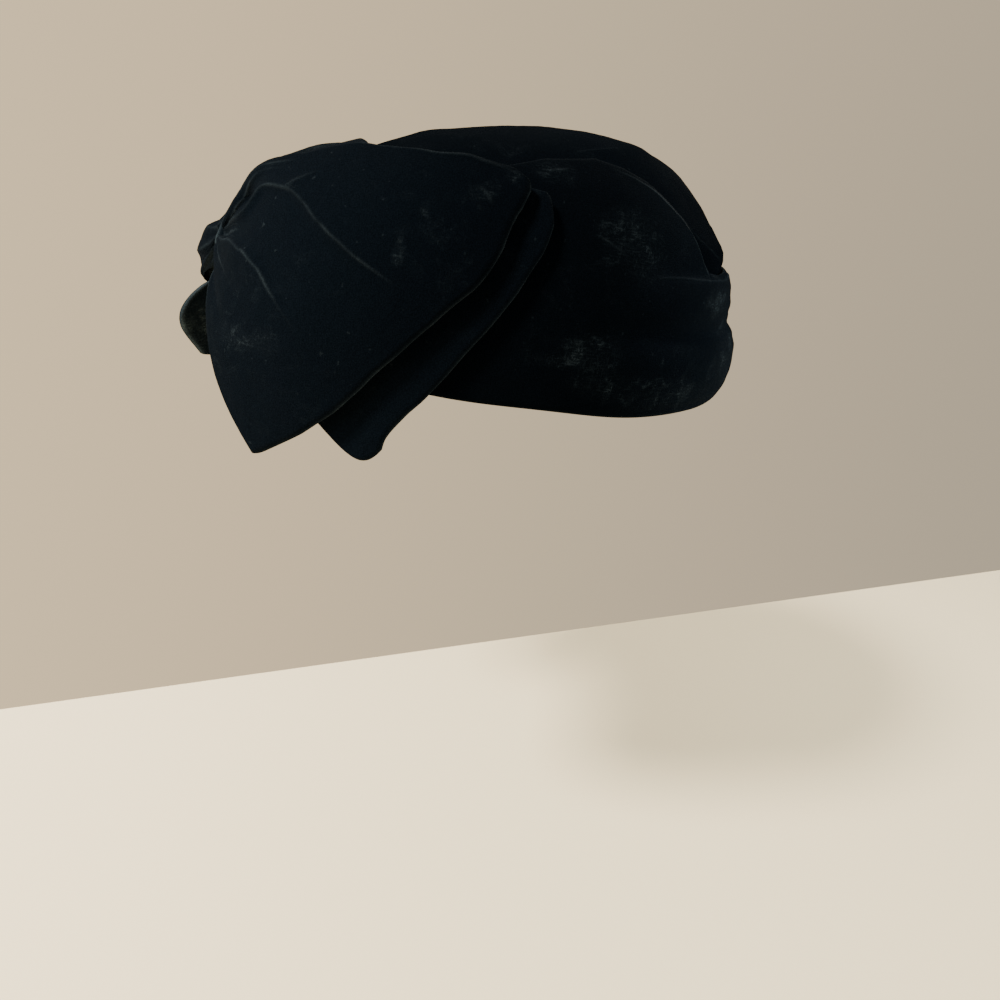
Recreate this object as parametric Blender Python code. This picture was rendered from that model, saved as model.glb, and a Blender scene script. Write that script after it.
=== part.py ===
"""A draped velvet turban hat with a fan bow at its front, built as separate cloth solids.

Metres. +Z points up out of the crown, -Y is the front and +X is the wearer's left.
The origin is the centre of the head opening, in the plane of the rim.
A place on the hat is given by a turn in degrees, from the front towards the wearer's left,
a height above the rim, and how far out it lies from the head form.
"""

import math

import bmesh
import bpy
from mathutils import Vector

# The head form, which is the inside of the crown
HEAD_LENGTH = 0.190
HEAD_WIDTH = 0.154
HEAD_DEPTH = 0.0800
SIDE_ROUNDNESS = 0.55
TOP_ROUNDNESS = 0.90
BACK_ROUNDING = 0.038
BACK_PINCH = 0.0026
BACK_PINCH_HEIGHT = 0.038
BACK_PINCH_WIDTH = 0.013
BACK_PINCH_FULL = 0.8
FRONT_DROP = 0.285
DROP_START = 0.031
DROP_LENGTH = 0.120
DROP_POWER = 1.7

# How finely the head form is measured
CLIMB_STEP = 0.004
HALF_DEGREE = 0.5
HIGHEST_CLIMB = 0.72
HALVINGS = 26

# Cloth walls, and the space that each layer keeps to the one under it
CROWN_WALL = 0.0025
DRAPE_WALL = 0.0024
TOP_DRAPE_WALL = 0.0028
LEAF_WALL = 0.0040
UNDER_LEAF_WALL = 0.0032
LAYER_GAP = 0.0007
EDGE_ROUND = 0.0022

# Where each layer's inner face lies, out from the head form
DRAPE_BASE = CROWN_WALL + LAYER_GAP
UNDER_LEAF_BASE = DRAPE_BASE + DRAPE_WALL + LAYER_GAP
LEAF_BASE = UNDER_LEAF_BASE + UNDER_LEAF_WALL + LAYER_GAP

# The crown stops a little above the rim, inside the side drape
CROWN_RIM_LIFT = 0.0015
CROWN_LAST_RING = 0.95
CROWN_FIRST_STEP = 0.02
CROWN_FOLD_FADE = 0.7

# The side drape: the cuff's puffed folds at the back, which fade towards the front
CUFF_PUFF = 0.0016
CUFF_GROOVE_SHARE = 0.62
CUFF_GROOVE_DEPTH = 0.0022
CUFF_GROOVE_WIDTH = 0.10
CUFF_HEIGHT = 0.0455
CUFF_FADE_START = 85
CUFF_FADE_END = 135
CUFF_LOWNESS = 0.6
CUFF_FLATNESS = 0.8
RIM_SAG = 0.0016
SAG_START = 60

# The bow
BOW_STAND = 0.020
CREASE_HEIGHT = 0.0018
CREASE_FADE = 0.6
KNOT_HEIGHT = 0.0270
KNOT_STAND = 0.0039
KNOT_HALF_WIDTH = 0.0048
KNOT_HALF_HEIGHT = 0.0068
KNOT_HALF_DEPTH = 0.0058
KNOT_RIBS = 5
KNOT_RIB_SHARE = 0.09
KNOT_FULLNESS = 0.8
ROOT_CLEARANCE = 0.0006
NARROWEST_ROOT = 0.0032

# Facets
CROWN_TURNS = 56
CROWN_RINGS = 13
DRAPE_TURNS = 72
DRAPE_RINGS = 9
LEAF_STEPS = 9
STEPS_PER_FOLD = 2
TOP_DRAPE_STEPS = 9
FAN_SIDE_EDGE = 0.02
FAN_END_EDGE = 0.03
DRAPE_EDGE = 0.035
EDGE_PAIR = 0.35
KNOT_TURNS = 20
KNOT_RINGS = 8

CLOTH_COLOUR = (0.010, 0.012, 0.014, 1.0)
CLOTH_ROUGHNESS = 0.9

# The side drape's upper edge, as shares of HEAD_DEPTH at each turn from the front
DRAPE_TOP = [
    dict(turn=0, left=0.20, right=0.20),
    dict(turn=30, left=0.48, right=0.48),
    dict(turn=60, left=0.78, right=0.77),
    dict(turn=85, left=0.91, right=0.89),
    dict(turn=100, left=0.935, right=0.915),
    dict(turn=112, left=0.925, right=0.89),
    dict(turn=121, left=0.87, right=0.83),
    dict(turn=128, left=0.76, right=0.73),
    dict(turn=134, left=0.63, right=0.62),
    dict(turn=142, left=0.56, right=0.56),
    dict(turn=180, left=0.555, right=0.555),
]

# Soft folds that stand up from the crown: the turns of both ends, how near they are to the
# rim (1) or the top (0), and the width and rise in shares of HEAD_DEPTH
CROWN_FOLDS = [
    dict(turns=(104, 160), reaches=(0.60, 0.46), width=0.070, rise=0.018),
    dict(turns=(136, 168), reaches=(0.74, 0.84), width=0.050, rise=0.012),
    dict(turns=(160, 206), reaches=(0.62, 0.66), width=0.060, rise=0.012),
    dict(turns=(215, 262), reaches=(0.55, 0.62), width=0.050, rise=0.018),
    dict(turns=(300, 345), reaches=(0.45, 0.40), width=0.060, rise=0.014),
    dict(turns=(15, 62), reaches=(0.40, 0.46), width=0.060, rise=0.014),
]

# Each bow leaf has a row for each fold, from its top edge round to its front edge, and four
# places on each fold, from the knot to the outer edge. Turns are in degrees to the leaf's own
# side, heights in shares of HEAD_DEPTH, lifts off the layer beneath in shares of BOW_STAND and
# creases in shares of CREASE_HEIGHT. An upper leaf starts beside the knot: a fold's root is its
# height up (1) or down (-1) the knot, and its turn and height are for the other three places.
LEFT_UPPER_FOLDS = [
    dict(root=0.87, turn=(20, 46, 82), height=(0.71, 0.86, 0.83), lift=(-0.1, 0.19, 0.09, 0.01), crease=0),
    dict(root=0.63, turn=(20, 48, 80), height=(0.66, 0.75, 0.73), lift=(-0.1, 0.18, 0.11, 0.01), crease=0),
    dict(root=0.28, turn=(22, 47, 75), height=(0.58, 0.53, 0.48), lift=(-0.19, 0.1, 0.12, 0.01), crease=1),
    dict(root=-0.01, turn=(23, 45, 66), height=(0.43, 0.32, 0.25), lift=(-0.19, 0.06, 0.1, 0.02), crease=0),
    dict(root=-0.31, turn=(23, 39, 57), height=(0.28, 0.15, 0), lift=(-0.19, 0.06, 0.14, 0.05), crease=1),
    dict(root=-0.66, turn=(22, 34, 49), height=(0.14, -0.04, -0.2), lift=(-0.19, 0.12, 0.17, 0.09), crease=0),
    dict(root=-0.9, turn=(16, 25, 36), height=(0.04, -0.2, -0.42), lift=(-0.19, 0.18, 0.22, 0.13), crease=0),
]
LEFT_LOWER_FOLDS = [
    dict(turn=(24, 40, 62, 88), height=(0.42, 0.6, 0.76, 0.78), lift=(0.02, 0.02, 0.01, 0.01), crease=0),
    dict(turn=(24, 42, 62, 85), height=(0.38, 0.5, 0.58, 0.58), lift=(0.02, 0.02, 0.01, 0.01), crease=0.2),
    dict(turn=(24, 42, 60, 77), height=(0.33, 0.34, 0.33, 0.29), lift=(0.02, 0.02, 0.01, 0.01), crease=0),
    dict(turn=(24, 38, 53, 67), height=(0.28, 0.18, 0.06, -0.07), lift=(0.02, 0.02, 0.02, 0.02), crease=0),
    dict(turn=(23, 34, 47, 58), height=(0.23, 0.07, -0.12, -0.31), lift=(0.02, 0.03, 0.04, 0.03), crease=0),
    dict(turn=(22, 29, 39, 48), height=(0.18, 0, -0.12, -0.22), lift=(0.02, 0.05, 0.06, 0.05), crease=0),
]
RIGHT_UPPER_FOLDS = [
    dict(root=0.87, turn=(20, 46, 80), height=(0.66, 0.8, 0.79), lift=(-0.11, 0.13, 0.05, 0.01), crease=0),
    dict(root=0.63, turn=(19, 47, 77), height=(0.54, 0.7, 0.68), lift=(-0.15, 0.16, 0.11, 0.01), crease=0),
    dict(root=0.28, turn=(17, 46, 71), height=(0.38, 0.5, 0.45), lift=(-0.19, 0.27, 0.18, 0.01), crease=0.8),
    dict(root=-0.01, turn=(15, 44, 63), height=(0.27, 0.31, 0.23), lift=(-0.19, 0.47, 0.24, 0.03), crease=0),
    dict(root=-0.31, turn=(16, 38, 54), height=(0.14, 0.14, 0), lift=(-0.19, 0.57, 0.34, 0.07), crease=0.8),
    dict(root=-0.66, turn=(18, 33, 47), height=(0.06, 0, -0.17), lift=(-0.19, 0.55, 0.37, 0.14), crease=0),
    dict(root=-0.9, turn=(19, 30, 39), height=(0.05, -0.09, -0.3), lift=(-0.19, 0.42, 0.36, 0.21), crease=0),
]
RIGHT_LOWER_FOLDS = [
    dict(turn=(24, 40, 62, 86), height=(0.42, 0.58, 0.72, 0.73), lift=(0.02, 0.02, 0.01, 0.01), crease=0),
    dict(turn=(24, 42, 60, 80), height=(0.37, 0.47, 0.54, 0.51), lift=(0.02, 0.02, 0.01, 0.01), crease=0.2),
    dict(turn=(24, 41, 57, 72), height=(0.31, 0.3, 0.28, 0.22), lift=(0.02, 0.02, 0.01, 0.01), crease=0),
    dict(turn=(23, 36, 50, 63), height=(0.25, 0.12, -0.01, -0.13), lift=(0.02, 0.03, 0.03, 0.03), crease=0),
    dict(turn=(21, 27, 37, 49), height=(0.19, 0, -0.18, -0.31), lift=(0.02, 0.09, 0.1, 0.1), crease=0),
    dict(turn=(18, 16, 21, 31), height=(0.16, 0.03, -0.17, -0.38), lift=(0.02, 0.28, 0.44, 0.4), crease=0),
    dict(turn=(15, 9, 7, 16), height=(0.13, 0.07, -0.1, -0.34), lift=(0.02, 0.54, 0.92, 0.8), crease=0),
]

# The top drape has a row for each fold from left to right, which starts just over the knot and
# runs up and back over the crown. Its heights are for the three places after that.
TOP_DRAPE_FOLDS = [
    dict(turn=(2.6, 17, 34, 47), height=(0.53, 0.61, 0.7), lift=(0.04, 0.07, 0.02, -0.11), crease=0),
    dict(turn=(1.5, 7, 15, 22), height=(0.6, 0.71, 0.81), lift=(0.09, 0.18, 0.09, -0.14), crease=0.8),
    dict(turn=(0, 0, 0, 0), height=(0.59, 0.71, 0.83), lift=(0.09, 0.18, 0.09, -0.14), crease=-0.6),
    dict(turn=(-1.5, -7, -15, -22), height=(0.6, 0.71, 0.81), lift=(0.09, 0.18, 0.09, -0.14), crease=0.8),
    dict(turn=(-2.6, -17, -34, -47), height=(0.53, 0.61, 0.7), lift=(0.04, 0.07, 0.02, -0.11), crease=0),
]


def clear_scene():
    for old in list(bpy.data.objects):
        bpy.data.objects.remove(old, do_unlink=True)


def cloth(name):
    material = bpy.data.materials.new(name)
    material.use_nodes = True
    shader = material.node_tree.nodes["Principled BSDF"]
    shader.inputs["Base Color"].default_value = CLOTH_COLOUR
    shader.inputs["Roughness"].default_value = CLOTH_ROUGHNESS
    shader.inputs["Metallic"].default_value = 0.0
    return material


def clamp(value, low=0.0, high=1.0):
    return min(max(value, low), high)


def ease(share):
    share = clamp(share)
    return share * share * (3 - 2 * share)


def smooth_value(values, share):
    """A smooth curve through evenly spaced values, read at a share of its length."""
    place = clamp(share) * (len(values) - 1)
    first = min(int(place), len(values) - 2)
    part = place - first
    b, c = values[first], values[first + 1]
    a = values[first - 1] if first > 0 else 2 * b - c
    d = values[first + 2] if first + 2 < len(values) else 2 * c - b
    slope_b, slope_c = (c - a) / 2, (d - b) / 2
    return (
        b * (1 + 2 * part) * (1 - part) ** 2
        + slope_b * part * (1 - part) ** 2
        + c * part**2 * (3 - 2 * part)
        + slope_c * part**2 * (part - 1)
    )


def head_place(turn, climb):
    """A point of the head form. The climb goes from 0 at the rim to 1 at the top."""
    around = math.radians(turn)
    lift = math.pi / 2 * (1 - (1 - clamp(climb)) ** 2)
    roundness = SIDE_ROUNDNESS + BACK_ROUNDING * max(-math.cos(around), 0.0)
    reach = max(math.cos(lift), 0.0) ** roundness
    x = HEAD_WIDTH / 2 * reach * math.sin(around)
    y = -HEAD_LENGTH / 2 * reach * math.cos(around)
    forward = clamp((DROP_START - y) / DROP_LENGTH)
    depth = HEAD_DEPTH * (1 - FRONT_DROP * forward**DROP_POWER)
    z = depth * math.sin(lift) ** TOP_ROUNDNESS
    off = (z - BACK_PINCH_HEIGHT) / BACK_PINCH_WIDTH
    pinch = BACK_PINCH * math.exp(-off * off) * ease(-math.cos(around) / BACK_PINCH_FULL)
    shrink = 1 - pinch / (HEAD_LENGTH / 2)
    return Vector((x * shrink, y * shrink, z))


def head_normal(turn, climb):
    low, high = clamp(climb - CLIMB_STEP), clamp(climb + CLIMB_STEP)
    if high > 1 - CLIMB_STEP:
        return Vector((0, 0, 1))
    upward = head_place(turn, high) - head_place(turn, low)
    sideways = head_place(turn + HALF_DEGREE, climb) - head_place(turn - HALF_DEGREE, climb)
    return sideways.cross(upward).normalized()


def climb_at(turn, height, out):
    """The climb at which a layer that far from the head form reaches a height above the rim."""
    low, high = 0.0, HIGHEST_CLIMB
    for _ in range(HALVINGS):
        middle = (low + high) / 2
        reached = head_place(turn, middle) + head_normal(turn, middle) * out
        if reached.z < height:
            low = middle
        else:
            high = middle
    return (low + high) / 2


def cloth_place(turn, height, out):
    """A point of a layer at a stand-off from the head form, and the way it stands off."""
    climb = climb_at(turn, max(height, 0.0), out)
    normal = head_normal(turn, climb)
    point = head_place(turn, climb) + normal * out
    if height < point.z:
        point.z = height
    return point, normal


def even_steps(count, edge_share):
    """Shares from 0 to 1 with a close pair at each end, for a rounded edge."""
    inner = [edge_share + (1 - 2 * edge_share) * step / count for step in range(count + 1)]
    return [0.0, edge_share * EDGE_PAIR] + inner + [1 - edge_share * EDGE_PAIR, 1.0]


def finish_object(name, mesh_data, material):
    bmesh.ops.recalc_face_normals(mesh_data, faces=mesh_data.faces)
    bmesh.ops.triangulate(mesh_data, faces=mesh_data.faces)
    mesh = bpy.data.meshes.new(name)
    mesh_data.to_mesh(mesh)
    mesh_data.free()
    mesh.shade_smooth()
    mesh.materials.append(material)
    piece = bpy.data.objects.new(name, mesh)
    bpy.context.collection.objects.link(piece)
    return piece


def edge_rounding(points, column, row, closed):
    """The share of the full wall at a grid point: 1 inside, falling to 0 on the cloth's edge."""
    here = points[column][row]
    ends = [points[column][0], points[column][-1]]
    if not closed:
        ends += [points[0][row], points[-1][row]]
    share = clamp(min((here - end).length for end in ends) / EDGE_ROUND)
    return math.sqrt(1 - (1 - share) ** 2)


def cloth_solid(name, columns, rows, layer, material, closed=False):
    """A cloth sheet as a closed solid; layer gives each point's middle, outward way and wall."""
    places = [[layer(column, row) for row in rows] for column in columns]
    points = [[place[0] for place in line] for line in places]
    mesh_data = bmesh.new()
    outer, inner = [], []
    last_column, last_row = len(columns) - 1, len(rows) - 1
    for i, line in enumerate(places):
        outer.append([])
        inner.append([])
        for j, (point, normal, wall) in enumerate(line):
            on_edge = j in (0, last_row) or (not closed and i in (0, last_column))
            if on_edge:
                shared = mesh_data.verts.new(point)
                outer[i].append(shared)
                inner[i].append(shared)
                continue
            half = normal * wall / 2 * edge_rounding(points, i, j, closed)
            outer[i].append(mesh_data.verts.new(point + half))
            inner[i].append(mesh_data.verts.new(point - half))
    spans = len(columns) if closed else last_column
    for i in range(spans):
        k = (i + 1) % len(columns)
        for j in range(last_row):
            mesh_data.faces.new((outer[i][j], outer[k][j], outer[k][j + 1], outer[i][j + 1]))
            mesh_data.faces.new((inner[i][j + 1], inner[k][j + 1], inner[k][j], inner[i][j]))
    return finish_object(name, mesh_data, material)


def fold_rise(turn, point):
    """How far the crown's soft folds lift its surface at a point of the head form."""
    reach = math.hypot(point.x / (HEAD_WIDTH / 2), point.y / (HEAD_LENGTH / 2))
    rise = 0.0
    for fold in CROWN_FOLDS:
        start, end = fold["turns"]
        share = (turn - start) / (end - start)
        if 0 < share < 1:
            line = fold["reaches"][0] + share * (fold["reaches"][1] - fold["reaches"][0])
            off = (reach - line) / fold["width"]
            fade = math.sin(math.pi * share) ** CROWN_FOLD_FADE
            rise += fold["rise"] * HEAD_DEPTH * math.exp(-off * off) * fade
    return rise


def crown():
    turns = [360 * step / CROWN_TURNS for step in range(CROWN_TURNS)]
    mesh_data = bmesh.new()
    outer, inner = [], []
    for turn in turns:
        start = climb_at(turn, CROWN_RIM_LIFT, 0.0)
        edge = mesh_data.verts.new(head_place(turn, start) + head_normal(turn, start) * CROWN_WALL / 2)
        outside, inside = [edge], [edge]
        for ring in range(CROWN_RINGS):
            first = start + CROWN_FIRST_STEP
            climb = first + (CROWN_LAST_RING - first) * ring / (CROWN_RINGS - 1)
            base = head_place(turn, climb)
            normal = head_normal(turn, climb)
            out = CROWN_WALL + fold_rise(turn, base)
            outside.append(mesh_data.verts.new(base + normal * out))
            inside.append(mesh_data.verts.new(base))
        outer.append(outside)
        inner.append(inside)
    for i in range(CROWN_TURNS):
        k = (i + 1) % CROWN_TURNS
        for j in range(CROWN_RINGS):
            mesh_data.faces.new((outer[i][j], outer[k][j], outer[k][j + 1], outer[i][j + 1]))
            mesh_data.faces.new((inner[i][j + 1], inner[k][j + 1], inner[k][j], inner[i][j]))
    apex = head_place(0, 1)
    top = mesh_data.verts.new(apex + Vector((0, 0, CROWN_WALL)))
    under = mesh_data.verts.new(apex)
    for i in range(CROWN_TURNS):
        k = (i + 1) % CROWN_TURNS
        mesh_data.faces.new((outer[i][-1], outer[k][-1], top))
        mesh_data.faces.new((under, inner[k][-1], inner[i][-1]))
    return finish_object("crown", mesh_data, cloth("crown_velvet"))


def drape_top(turn):
    """Height of the side drape's upper edge at a turn."""
    side = "left" if turn % 360 <= 180 else "right"
    away = min(turn % 360, 360 - turn % 360)
    for before, after in zip(DRAPE_TOP, DRAPE_TOP[1:]):
        if away <= after["turn"]:
            share = (away - before["turn"]) / (after["turn"] - before["turn"])
            return HEAD_DEPTH * (before[side] + share * (after[side] - before[side]))
    return HEAD_DEPTH * DRAPE_TOP[-1][side]


def cuff_shape(turn, height):
    """How far the cuff at the back puffs out: two soft folds with a groove between them."""
    away = min(turn % 360, 360 - turn % 360)
    strength = ease((away - CUFF_FADE_START) / (CUFF_FADE_END - CUFF_FADE_START))
    share = clamp(height / CUFF_HEIGHT)
    puff = CUFF_PUFF * math.sin(math.pi * share**CUFF_LOWNESS) ** CUFF_FLATNESS if 0 < share < 1 else 0.0
    off = (share - CUFF_GROOVE_SHARE) / CUFF_GROOVE_WIDTH
    groove = CUFF_GROOVE_DEPTH * math.exp(-off * off)
    return strength * max(puff - groove, 0.0)


def rim_drop(turn):
    """How far the rim sags at each side, between the bow and the back."""
    away = min(turn % 360, 360 - turn % 360)
    return RIM_SAG * math.sin(math.pi * ease((away - SAG_START) / (180 - SAG_START))) ** 2


def drape_layer(turn, share):
    low = -rim_drop(turn)
    height = low + (drape_top(turn) - low) * share
    out = DRAPE_BASE + DRAPE_WALL / 2 + cuff_shape(turn, height)
    point, normal = cloth_place(turn, height, out)
    return point, normal, DRAPE_WALL


def side_drape():
    turns = [360 * step / DRAPE_TURNS for step in range(DRAPE_TURNS)]
    rings = even_steps(DRAPE_RINGS, DRAPE_EDGE)
    return cloth_solid("side_drape", turns, rings, drape_layer, cloth("side_velvet"), closed=True)


def knot_outline(root):
    """How far out to the side an upper leaf starts, at a height up or down the knot."""
    half = KNOT_HALF_WIDTH * (1 + KNOT_RIB_SHARE) * math.sqrt(max(1 - root * root, 0.0))
    return max(half, NARROWEST_ROOT) + ROOT_CLEARANCE


def beside_knot(folds):
    """The folds of an upper leaf with their first places set beside the knot."""
    full = []
    for fold in folds:
        reach = HEAD_WIDTH / 2 + LEAF_BASE
        turn = math.degrees(math.asin(knot_outline(fold["root"]) / reach))
        height = (KNOT_HEIGHT + fold["root"] * KNOT_HALF_HEIGHT) / HEAD_DEPTH
        full.append({**fold, "turn": (turn, *fold["turn"]), "height": (height, *fold["height"])})
    return full


def over_knot(folds):
    """The folds of the top drape with their first places set over the knot."""
    height = (KNOT_HEIGHT + KNOT_HALF_HEIGHT + ROOT_CLEARANCE) / HEAD_DEPTH
    return [{**fold, "height": (height, *fold["height"])} for fold in folds]


def folded_place(folds, across, along, column):
    """A table's value between its folds and between the four places on each."""
    return smooth_value([smooth_value(fold[column], along) for fold in folds], across)


def crease_at(folds, across, along):
    """A crease is a ridge along its fold that dies out at the knot and at the edge."""
    place = across * (len(folds) - 1)
    nearest = round(place)
    sharpness = clamp(1 - 2 * abs(place - nearest))
    fade = math.sin(math.pi * clamp(along)) ** CREASE_FADE
    return CREASE_HEIGHT * folds[nearest]["crease"] * sharpness * fade


def fan(name, folds, side, base, wall, steps):
    """A folded fan of cloth, from the knot out to its edge, on the left (1) or the right (-1)."""
    count = STEPS_PER_FOLD * (len(folds) - 1)

    def layer(across, along):
        turn = side * folded_place(folds, across, along, "turn")
        height = HEAD_DEPTH * folded_place(folds, across, along, "height")
        lift = BOW_STAND * folded_place(folds, across, along, "lift")
        middle = base + wall / 2 + lift + crease_at(folds, across, along)
        point, normal = cloth_place(turn, height, middle)
        return point, normal, wall

    columns = even_steps(count, FAN_SIDE_EDGE)
    rows = even_steps(steps, FAN_END_EDGE)
    return cloth_solid(name, columns, rows, layer, cloth(name + "_velvet"))


def knot():
    centre, normal = cloth_place(0, KNOT_HEIGHT, UNDER_LEAF_BASE + KNOT_STAND)
    side = Vector((1, 0, 0))
    up = normal.cross(side) * -1
    mesh_data = bmesh.new()
    rings = []
    for ring in range(1, KNOT_RINGS):
        rise = math.pi * ring / KNOT_RINGS
        line = []
        for step in range(KNOT_TURNS):
            around = 2 * math.pi * step / KNOT_TURNS
            swell = math.sin(rise) ** KNOT_FULLNESS * (1 + KNOT_RIB_SHARE * math.cos(KNOT_RIBS * around))
            offset = side * KNOT_HALF_WIDTH * swell * math.cos(around)
            offset += normal * KNOT_HALF_DEPTH * swell * math.sin(around)
            offset += up * KNOT_HALF_HEIGHT * math.cos(rise)
            line.append(mesh_data.verts.new(centre + offset))
        rings.append(line)
    for before, after in zip(rings, rings[1:]):
        for i in range(KNOT_TURNS):
            k = (i + 1) % KNOT_TURNS
            mesh_data.faces.new((before[i], before[k], after[k], after[i]))
    for line, way in ((rings[0], 1), (rings[-1], -1)):
        pole = mesh_data.verts.new(centre + up * KNOT_HALF_HEIGHT * way)
        for i in range(KNOT_TURNS):
            mesh_data.faces.new((line[i], line[(i + 1) % KNOT_TURNS], pole))
    return finish_object("knot", mesh_data, cloth("knot_velvet"))


clear_scene()
crown()
side_drape()
fan("bow_left_lower", LEFT_LOWER_FOLDS, 1, UNDER_LEAF_BASE, UNDER_LEAF_WALL, LEAF_STEPS)
fan("bow_right_lower", RIGHT_LOWER_FOLDS, -1, UNDER_LEAF_BASE, UNDER_LEAF_WALL, LEAF_STEPS)
fan("bow_left_upper", beside_knot(LEFT_UPPER_FOLDS), 1, LEAF_BASE, LEAF_WALL, LEAF_STEPS)
fan("bow_right_upper", beside_knot(RIGHT_UPPER_FOLDS), -1, LEAF_BASE, LEAF_WALL, LEAF_STEPS)
fan("top_drape", over_knot(TOP_DRAPE_FOLDS), 1, UNDER_LEAF_BASE, TOP_DRAPE_WALL, TOP_DRAPE_STEPS)
knot()
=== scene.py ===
"""The looks of the velvet turban hat: each cloth solid rebuilt as fine, folded velvet.

Metres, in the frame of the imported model: +Z up out of the crown, -Y the front, +X the wearer's
left. A place on the hat is a turn in degrees from the front, a height above the rim, and how far
out it lies from the head form, as in the part's own source.
"""

import itertools
import math

import bpy
import numpy as np
from mathutils import Matrix, Vector


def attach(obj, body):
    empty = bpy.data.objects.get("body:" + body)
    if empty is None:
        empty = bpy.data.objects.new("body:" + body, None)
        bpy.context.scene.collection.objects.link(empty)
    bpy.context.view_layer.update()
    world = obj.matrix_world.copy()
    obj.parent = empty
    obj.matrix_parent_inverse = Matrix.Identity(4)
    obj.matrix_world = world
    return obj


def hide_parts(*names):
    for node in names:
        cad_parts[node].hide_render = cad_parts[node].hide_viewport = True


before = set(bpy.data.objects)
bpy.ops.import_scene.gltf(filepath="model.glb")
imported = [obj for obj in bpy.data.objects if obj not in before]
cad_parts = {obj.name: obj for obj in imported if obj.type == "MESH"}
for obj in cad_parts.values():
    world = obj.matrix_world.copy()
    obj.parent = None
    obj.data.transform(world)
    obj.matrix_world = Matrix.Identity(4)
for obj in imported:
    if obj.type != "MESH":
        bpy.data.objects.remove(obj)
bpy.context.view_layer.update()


def table(names, *rows):
    """Rows of values under these names."""
    return [dict(zip(names.split(), row)) for row in rows]


# The head form, which is the inside of the crown
HEAD_LENGTH = 0.190
HEAD_WIDTH = 0.154
HEAD_DEPTH = 0.0800
SIDE_ROUNDNESS = 0.55
TOP_ROUNDNESS = 0.90
BACK_ROUNDING = 0.038
BACK_PINCH = 0.0026
BACK_PINCH_HEIGHT = 0.038
BACK_PINCH_WIDTH = 0.013
BACK_PINCH_FULL = 0.8
FRONT_DROP = 0.285
DROP_START = 0.031
DROP_LENGTH = 0.120
DROP_POWER = 1.7

# Cloth walls, and the space that each layer keeps to the one under it
CROWN_WALL = 0.0025
DRAPE_WALL = 0.0024
TOP_DRAPE_WALL = 0.0028
LEAF_WALL = 0.0040
UNDER_LEAF_WALL = 0.0032
LAYER_GAP = 0.0007
EDGE_ROUND = 0.0022
DRAPE_BASE = CROWN_WALL + LAYER_GAP
UNDER_LEAF_BASE = DRAPE_BASE + DRAPE_WALL + LAYER_GAP
LEAF_BASE = UNDER_LEAF_BASE + UNDER_LEAF_WALL + LAYER_GAP

CROWN_RIM_LIFT = 0.0015
CROWN_RINGS = (0.02, 0.985)

# The side drape: the cuff's puffed folds at the back, which fade towards the front
CUFF_HEIGHT = 0.0455
CUFF_FADE_START = 85
CUFF_FADE_END = 135

# Its rim sags and waves a little. Its lumps and its edges' painted highlight, partly rubbed pile, begin at a
# turn from the front and grow over the next turns, and the edges are painted a little lighter and then much
# more.
RIM_SAG = 0.0022
RIM_SAG_START = 60
RIM_WAVE = 0.0002
RIM_WAVES = 11
SIDE_LUMPS_TURNS = (55, 25)
SIDE_WORN_AND_HIGHLIGHT_TURNS = (84, 14)
SIDE_WORN_AND_HIGHLIGHT = (0.05, 0.85)

# The bow
BOW_STAND = 0.020
KNOT_HEIGHT = 0.0270
KNOT_STAND = 0.0039
KNOT_HALF_WIDTH = 0.0048
KNOT_HALF_HEIGHT = 0.0068
KNOT_HALF_DEPTH = 0.0058
ROOT_TUCK = 0.0014
NARROWEST_ROOT = 0.0032
ROOT_SPREAD = 1.09

MILLIMETRE = 0.001

# How finely each cloth is drawn, and its places are found
CROWN_GRID = (360, 64)
SIDE_GRID = (540, 56)
LEAF_GRID = (170, 190)
TOP_DRAPE_GRID = (130, 120)
KNOT_GRID = (120, 72)
EDGE_CROWDING = 0.62
LINE_SHARES = np.linspace(0, 1, 90)
HIGHEST_CLIMB = 0.72
HALVINGS = 24
NOISE_TABLE = 16

# The side drape's upper edge, as shares of HEAD_DEPTH at each turn from the front
DRAPE_TOP = table(
    "turn left right",
    (0, 0.20, 0.20),
    (30, 0.48, 0.48),
    (60, 0.78, 0.77),
    (85, 0.90, 0.89),
    (100, 0.932, 0.915),
    (108, 0.918, 0.895),
    (115, 0.885, 0.865),
    (120, 0.832, 0.82),
    (125, 0.765, 0.75),
    (128, 0.705, 0.69),
    (131, 0.62, 0.61),
    (135, 0.565, 0.565),
    (142, 0.55, 0.55),
    (180, 0.555, 0.555),
)

# Soft folds that stand up from the crown: the turns of both ends, how near they are to the
# rim (1) or the top (0), and the width and rise in shares of HEAD_DEPTH
CROWN_FOLDS = table(
    "turns reaches width rise",
    ((104, 160), (0.60, 0.46), 0.070, 0.018),
    ((136, 168), (0.74, 0.84), 0.050, 0.012),
    ((160, 206), (0.62, 0.66), 0.060, 0.012),
    ((215, 262), (0.55, 0.62), 0.050, 0.018),
    ((300, 345), (0.45, 0.40), 0.060, 0.014),
    ((15, 62), (0.40, 0.46), 0.060, 0.014),
)

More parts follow.
